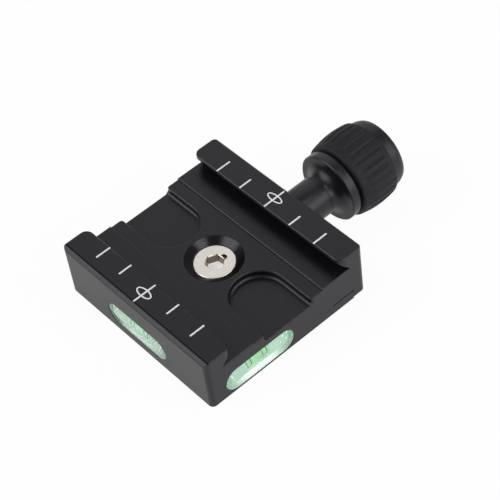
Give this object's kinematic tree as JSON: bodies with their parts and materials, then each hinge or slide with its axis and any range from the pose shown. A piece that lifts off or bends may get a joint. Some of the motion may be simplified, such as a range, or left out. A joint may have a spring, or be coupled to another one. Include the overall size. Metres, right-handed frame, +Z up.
{
  "type": "dovetail quick release clamp",
  "caption": "Square screw-knob clamp with dovetail jaws, an open channel, a bush with a hexagon socket and tripod thread, and bubble vials; the knob slides one jaw to grip a camera plate.",
  "frame": {"origin": "on the base plane, on the axis of the centre bush", "axes": "+X across the jaws towards the knob, +Y along the dovetail channel, +Z up out of the channel"},
  "size_m": [0.0762, 0.05, 0.0206],
  "materials": {
    "black_anodised": "fine blasted satin, black anodised aluminium",
    "black_anodised_turned": "turned satin, black anodised aluminium",
    "rubber": "matte moulded rubber",
    "nickel_steel": "nickel plated, turned face",
    "plated_steel": "zinc plated, machined",
    "black_steel": "black oxide",
    "spring_steel": "drawn wire",
    "clear_acrylic": "polished clear acrylic",
    "vial_liquid": "clear green liquid",
    "white_pad": "white adhesive foam"
  },
  "bodies": {
    "base": {"body": "black_anodised", "clamp_stud": "plated_steel", "stud_lock_screw": "black_steel", "stop_washer": "plated_steel", "stop_screw": "plated_steel", "guide_pin_front": "plated_steel", "guide_pin_rear": "plated_steel", "return_spring_front": "spring_steel", "return_spring_rear": "spring_steel", "centre_bush": "nickel_steel", "side_vial_block": "clear_acrylic", "side_vial_liquid": "vial_liquid", "side_vial_plug": "clear_acrylic", "side_vial_pad": "white_pad", "end_vial_block": "clear_acrylic", "end_vial_liquid": "vial_liquid", "end_vial_plug": "clear_acrylic", "end_vial_pad": "white_pad"},
    "jaw": {"sliding_jaw": "black_anodised", "thrust_washer": "plated_steel"},
    "knob": {"knob_core": "black_anodised_turned", "knob_grip": "rubber", "knob_cap": "black_anodised_turned"}
  },
  "joints": [
    {"name": "jaw_slide", "type": "slide", "parent": "base", "child": "jaw", "axis": [1, 0, 0], "range_m": [0, 0.0065], "deforming": ["return_spring_front", "return_spring_rear"]},
    {"name": "knob_turn", "type": "hinge", "parent": "jaw", "child": "knob", "pos_m": [0.03, 0, 0.0057], "axis": [1, 0, 0], "range_deg": [0, 2925]}
  ],
  "couplings": [
    {"joint": "knob_turn", "follows": "jaw_slide", "rad_per_m": 7853.9}
  ]
}
